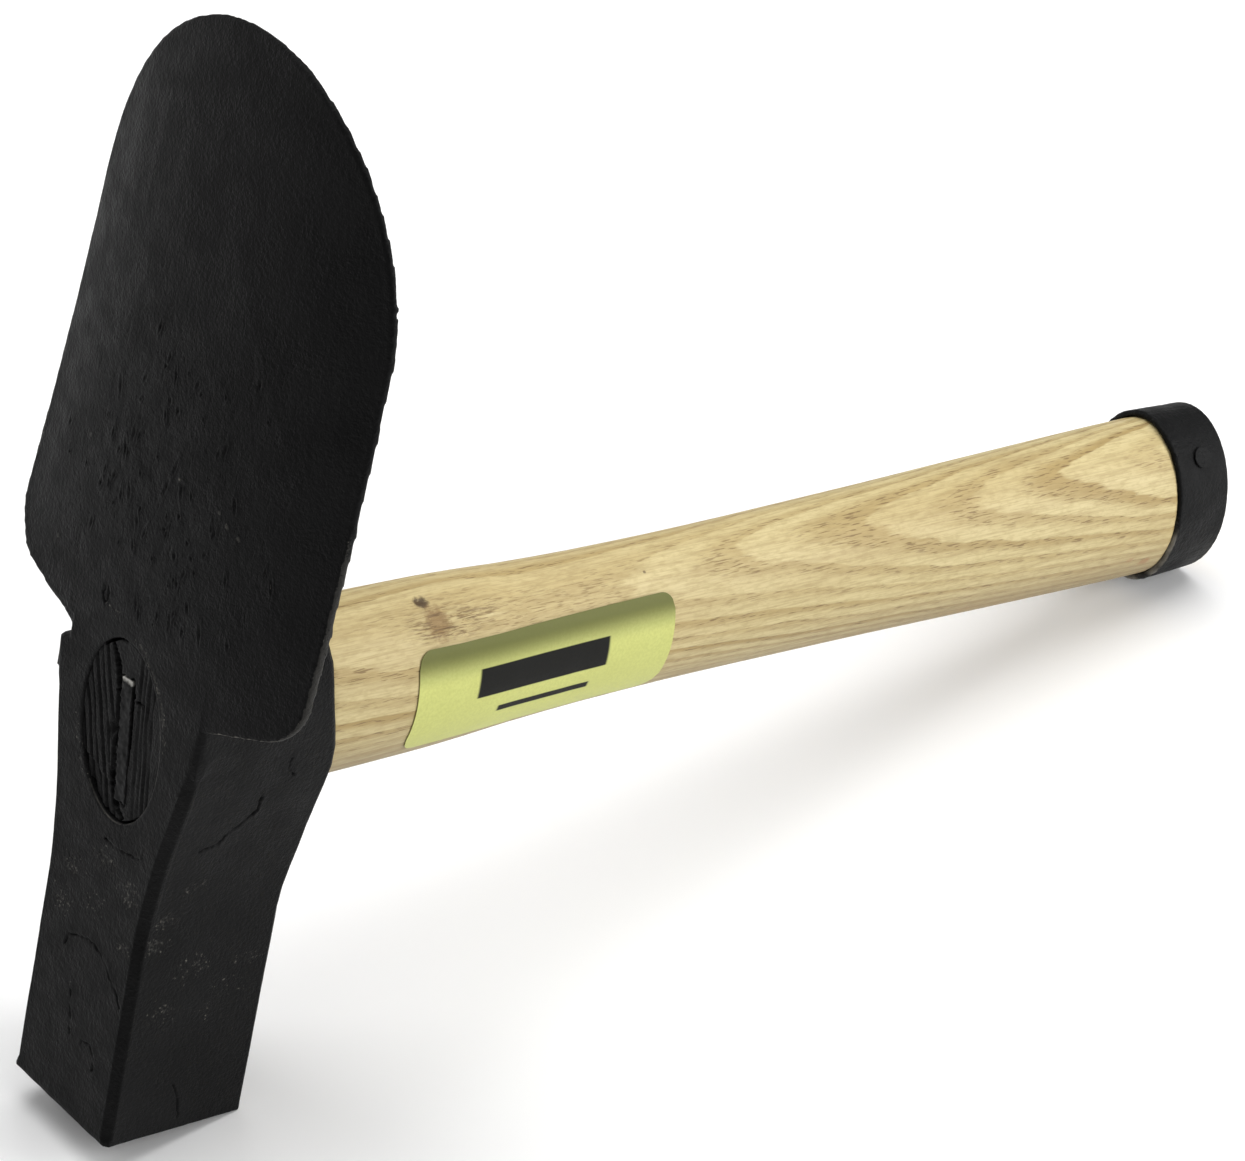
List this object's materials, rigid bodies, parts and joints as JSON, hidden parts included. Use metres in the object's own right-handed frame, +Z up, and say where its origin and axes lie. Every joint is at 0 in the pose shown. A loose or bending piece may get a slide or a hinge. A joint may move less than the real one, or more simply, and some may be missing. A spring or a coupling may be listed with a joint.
{
  "type": "paver's hammer",
  "caption": "Paver's hammer: a forged steel head with a square poll below and a cupped scoop blade above, wedged on a short oval ash handle with a steel butt ferrule.",
  "frame": {"origin": "middle of the footprint's bounding box, on the ground that the hammer lies on, resting on the poll's rear edge and the butt ferrule", "axes": "+X across the head, +Y from the head towards the butt of the handle, +Z up; the hammer's own axes lean back about X by about 14 degrees"},
  "size_m": [0.1068, 0.3646, 0.2696],
  "materials": {
    "head_paint": "thin satin black paint over forging scale",
    "ash_wood": "smooth, lightly sealed",
    "wedge_steel": "black paint with a bare struck edge",
    "ferrule_paint": "satin black paint with bare edges",
    "label_foil": "satin gold foil sticker"
  },
  "bodies": {
    "root": {"head": "head_paint", "handle": "ash_wood", "steel_wedge": "wedge_steel", "butt_ferrule": "ferrule_paint", "ferrule_nail": "ferrule_paint", "label": "label_foil"}
  },
  "joints": []
}
